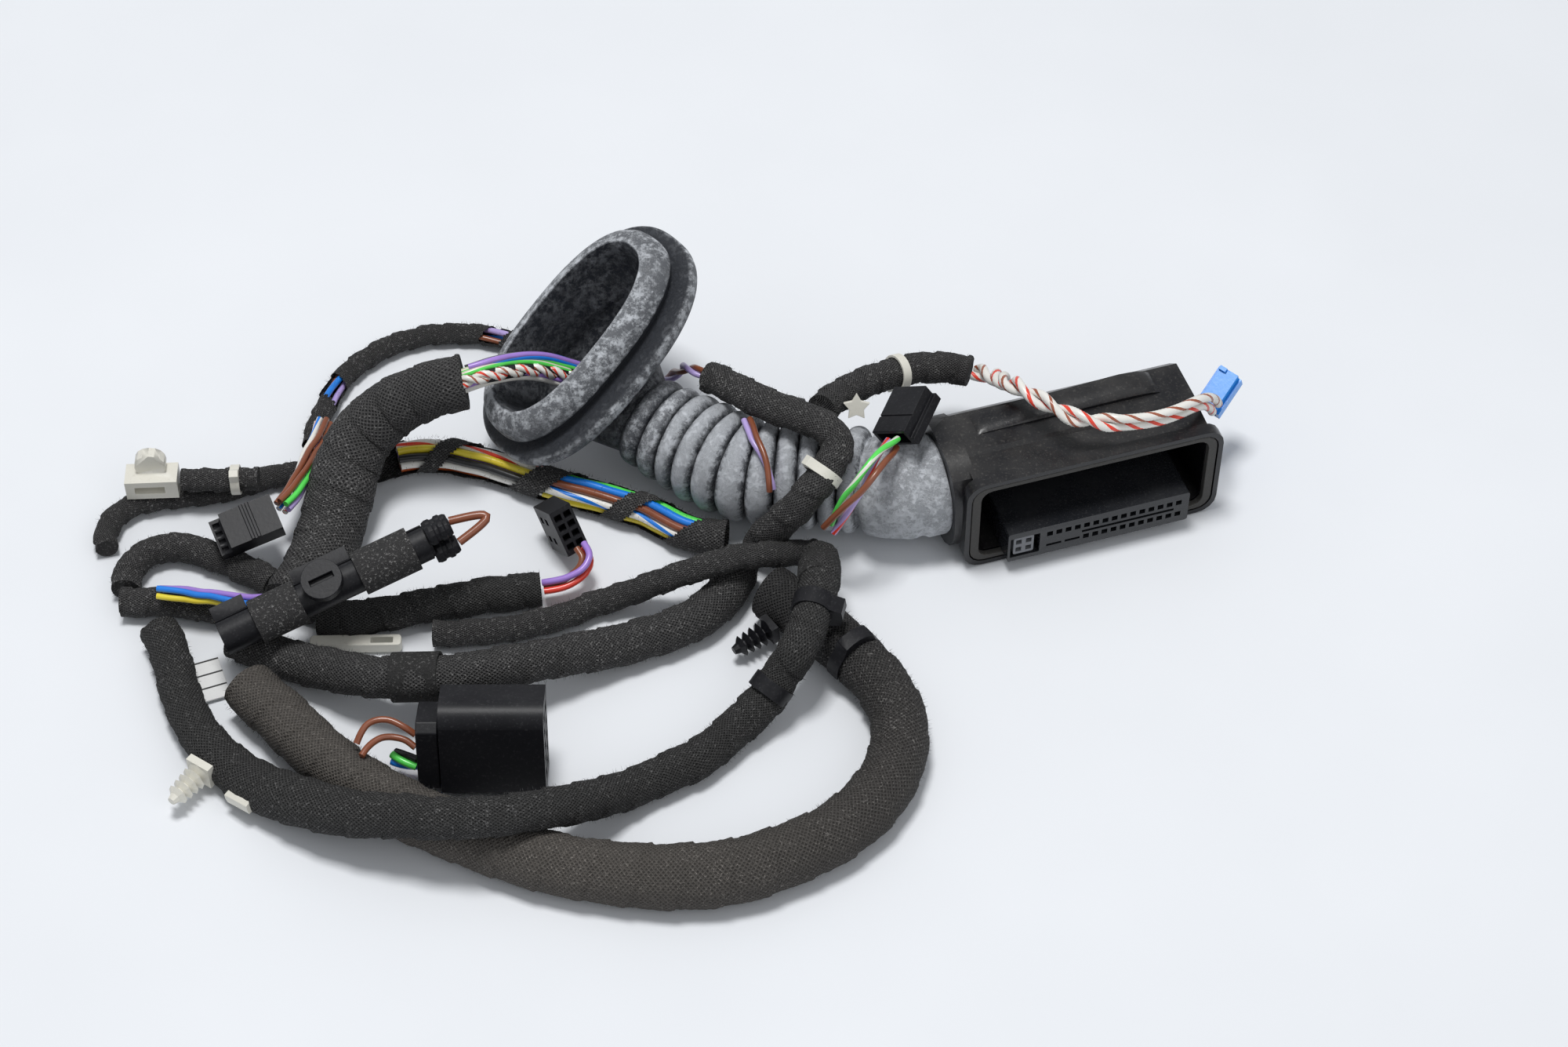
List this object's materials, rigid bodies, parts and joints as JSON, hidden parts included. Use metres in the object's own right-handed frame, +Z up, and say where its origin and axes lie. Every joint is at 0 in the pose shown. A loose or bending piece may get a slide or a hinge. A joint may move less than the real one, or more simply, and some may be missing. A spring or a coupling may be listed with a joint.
{
  "type": "vehicle door wiring harness",
  "caption": "Door wiring harness laid in loops: taped bundles, a rubber door grommet with bellows, a main connector shell, small connectors and clips.",
  "frame": {"origin": "on the surface that the harness lies on, under the middle of the box round the main connector shell, the grommet and the bundle inside it, without the free bundles", "axes": "+X to the right along the bellows towards the main connector, +Y to the back, +Z up"},
  "size_m": [0.2988, 0.1947, 0.0563],
  "materials": {
    "fleece_tape": "matte woven fleece tape",
    "wire_insulation": "satin, in many colours",
    "black_plastic": "satin moulded, dusty",
    "grey_plastic": "satin moulded",
    "cream_plastic": "waxy moulded",
    "grommet_rubber": "matte, dusty and mottled",
    "seal_rubber": "matte",
    "blue_plastic": "satin moulded",
    "label_film": "satin film"
  },
  "bodies": {
    "root": {"back_branch": "fleece_tape", "back_loop": "fleece_tape", "black_clip_wide": "black_plastic", "black_fir_clip": "black_plastic", "black_round_clip": "black_plastic", "black_tab": "black_plastic", "blue_connector": "blue_plastic", "blue_pair": "wire_insulation", "brown_loop_a": "wire_insulation", "brown_loop_b": "wire_insulation", "clip_stub": "fleece_tape", "connector_shell": "black_plastic", "contact_insert": "black_plastic", "cross_branch": "fleece_tape", "disc_clip": "black_plastic", "door_grommet": "grommet_rubber", "five_way_connector": "black_plastic", "five_way_wires": "wire_insulation", "four_way_branch": "fleece_tape", "four_way_connector": "black_plastic", "four_way_wires": "wire_insulation", "front_loop": "fleece_tape", "half_taped": "fleece_tape", "holder_wrap_left": "fleece_tape", "holder_wrap_right": "fleece_tape", "inner_bundle": "wire_insulation", "junction_tape": "fleece_tape", "label_flag": "label_film", "large_connector": "black_plastic", "large_connector_cap": "black_plastic", "large_white_clip": "cream_plastic", "left_hook": "fleece_tape", "left_stub": "fleece_tape", "left_upper": "fleece_tape", "lower_wires": "wire_insulation", "middle_lower": "fleece_tape", "middle_upper": "fleece_tape", "mouth_seal": "seal_rubber", "overlap_tape": "fleece_tape", "pair_back": "wire_insulation", "pair_over": "wire_insulation", "pin_module": "grey_plastic", "plug_wire_loop": "wire_insulation", "splice_holder": "black_plastic", "splice_plug_1": "black_plastic", "splice_plug_2": "grey_plastic", "splice_plug_3": "black_plastic", "star_clip": "cream_plastic", "stub_wires": "wire_insulation", "three_way_connector": "grey_plastic", "three_way_wires": "wire_insulation", "trunk": "fleece_tape", "white_band_back": "cream_plastic", "white_band_cross": "cream_plastic", "white_band_front": "cream_plastic", "white_band_left": "cream_plastic", "white_fir_clip": "cream_plastic", "white_slot_clip": "cream_plastic", "wide_bundle": "fleece_tape"}
  },
  "joints": []
}
